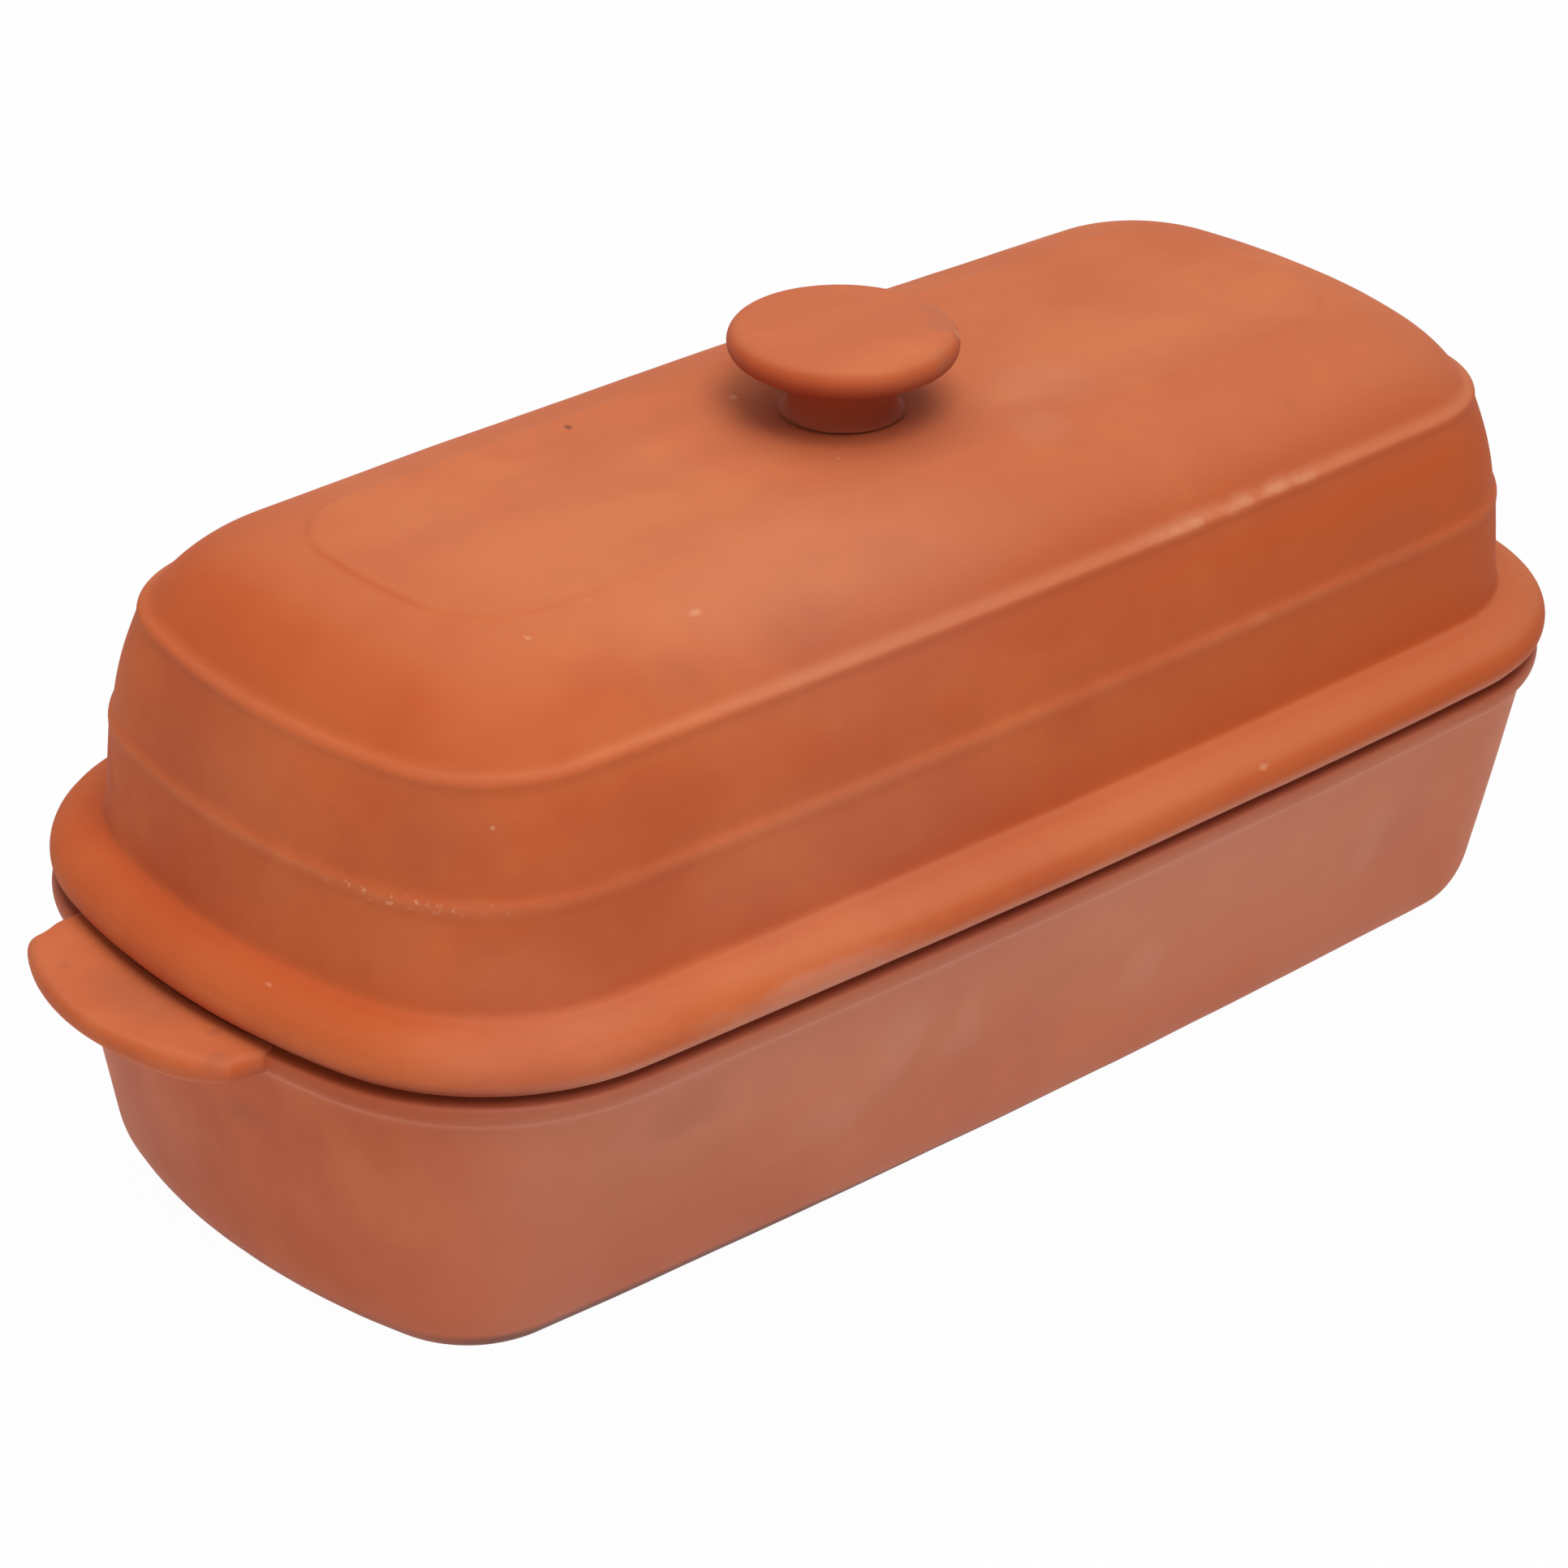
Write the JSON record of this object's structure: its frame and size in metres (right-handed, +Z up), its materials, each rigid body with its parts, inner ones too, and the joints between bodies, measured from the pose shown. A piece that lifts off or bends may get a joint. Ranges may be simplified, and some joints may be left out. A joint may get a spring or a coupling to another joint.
{
  "type": "covered clay loaf baker",
  "caption": "Covered clay loaf baker: tapered trough with end lugs, and a stepped, domed lid with a mushroom knob that lifts off.",
  "frame": {"origin": "middle of the flat foot that the trough stands on", "axes": "+X along the loaf towards the right lug, +Y across it, +Z up towards the knob"},
  "size_m": [0.3486, 0.1528, 0.1486],
  "materials": {
    "trough_clay": "unglazed, smooth, pinkish bloom",
    "lug_clay": "unglazed, matte",
    "lid_clay": "unglazed, matte, orange",
    "knob_clay": "unglazed, matte, orange"
  },
  "bodies": {
    "base": {"base_trough": "trough_clay", "left_lug_handle": "lug_clay", "right_lug_handle": "lug_clay"},
    "lid": {"lid_shell": "lid_clay", "lid_knob": "knob_clay"}
  },
  "joints": [
    {"name": "lid_lift", "type": "slide", "parent": "base", "child": "lid", "axis": [0, 0, 1], "range_m": [0, 0.12]}
  ]
}
